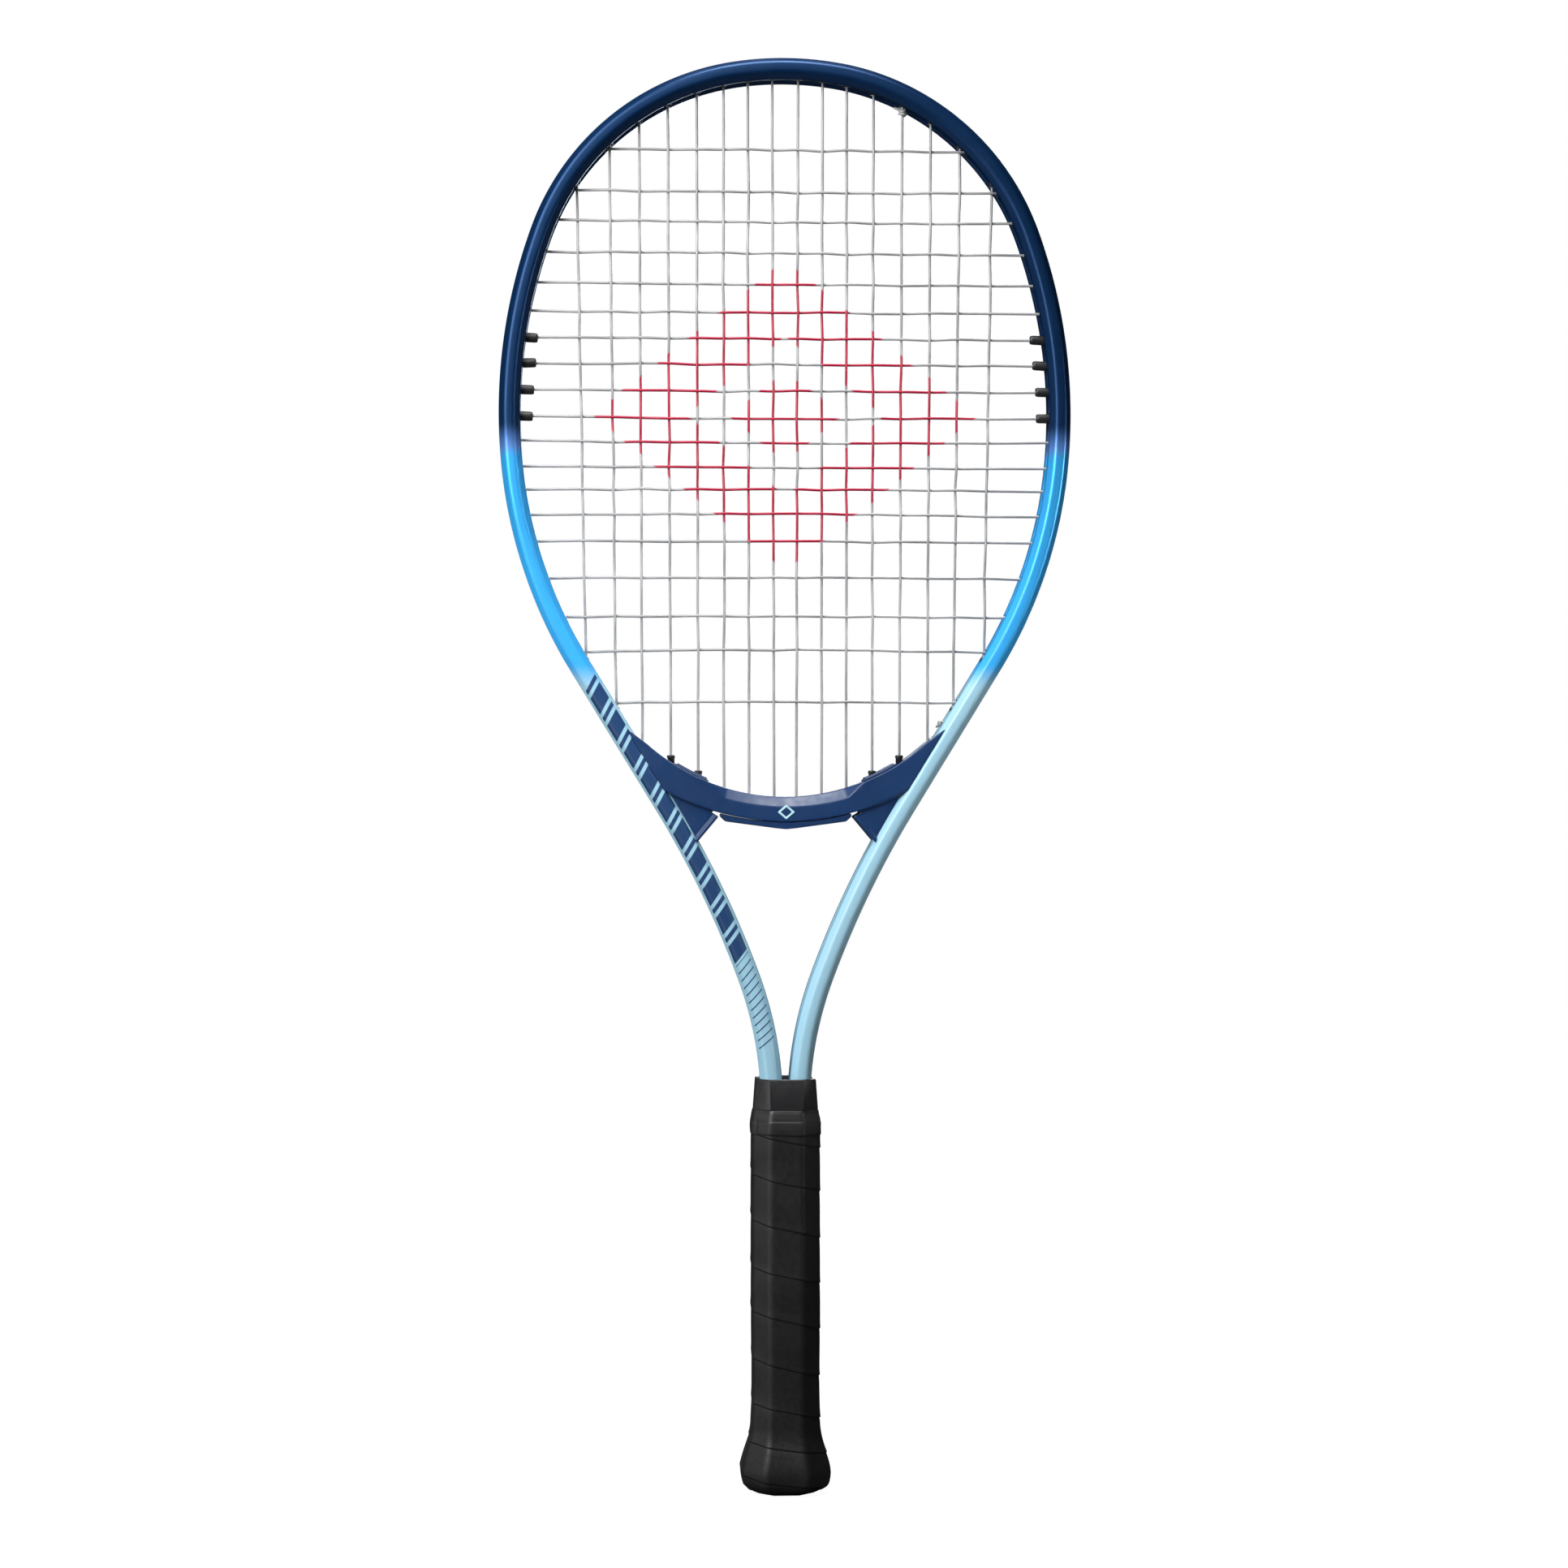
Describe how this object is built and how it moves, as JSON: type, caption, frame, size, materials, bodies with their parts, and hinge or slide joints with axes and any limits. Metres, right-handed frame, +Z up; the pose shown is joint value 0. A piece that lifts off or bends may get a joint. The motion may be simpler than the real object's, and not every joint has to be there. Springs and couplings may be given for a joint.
{
  "type": "tennis racket",
  "caption": "Recreational tennis racket: bent tube frame with open throat, moulded bridge, woven strings, sleeves, and a wound octagonal grip with flared butt.",
  "frame": {"origin": "centre of the flat butt end, on the racket's centreline", "axes": "+Z up the racket from butt to head, +X to the right across the strings, -Y is the front face"},
  "size_m": [0.2762, 0.0396, 0.692],
  "materials": {
    "frame_paint": "satin gloss paint over aluminium tube, navy head fading through bright blue to pale blue arms",
    "bridge_plastic": "satin moulded navy nylon",
    "grommet_plastic": "black moulded nylon",
    "rivet_metal": "plain aluminium",
    "sleeve_rubber": "soft black rubber",
    "string_polymer": "clear-white synthetic string, printed red within a plain shape",
    "handle_plastic": "satin black moulded plastic",
    "core_plastic": "moulded dark grey",
    "badge_plastic": "plain matt disc",
    "staple_wire": "plain steel wire",
    "grip_foam": "satin synthetic leather wound in a spiral",
    "tape": "black vinyl tape"
  },
  "bodies": {
    "root": {"frame_tube": "frame_paint", "throat_bridge": "bridge_plastic", "bridge_lower_strip": "bridge_plastic", "bridge_pad_left": "bridge_plastic", "bridge_pad_right": "bridge_plastic", "bridge_grommets": "grommet_plastic", "bridge_rivets": "rivet_metal", "head_grommet_strip": "grommet_plastic", "side_grommet_strip_left": "grommet_plastic", "side_grommet_strip_right": "grommet_plastic", "arm_grommets": "grommet_plastic", "shock_sleeves_left": "sleeve_rubber", "shock_sleeves_right": "sleeve_rubber", "main_strings": "string_polymer", "cross_strings": "string_polymer", "tie_off_knots": "string_polymer", "handle_collar": "handle_plastic", "handle_pallet_front": "core_plastic", "handle_pallet_back": "core_plastic", "butt_cap": "handle_plastic", "butt_end_badge": "badge_plastic", "grip_staples": "staple_wire", "grip_wrap": "grip_foam", "finishing_tape": "tape"}
  },
  "joints": []
}
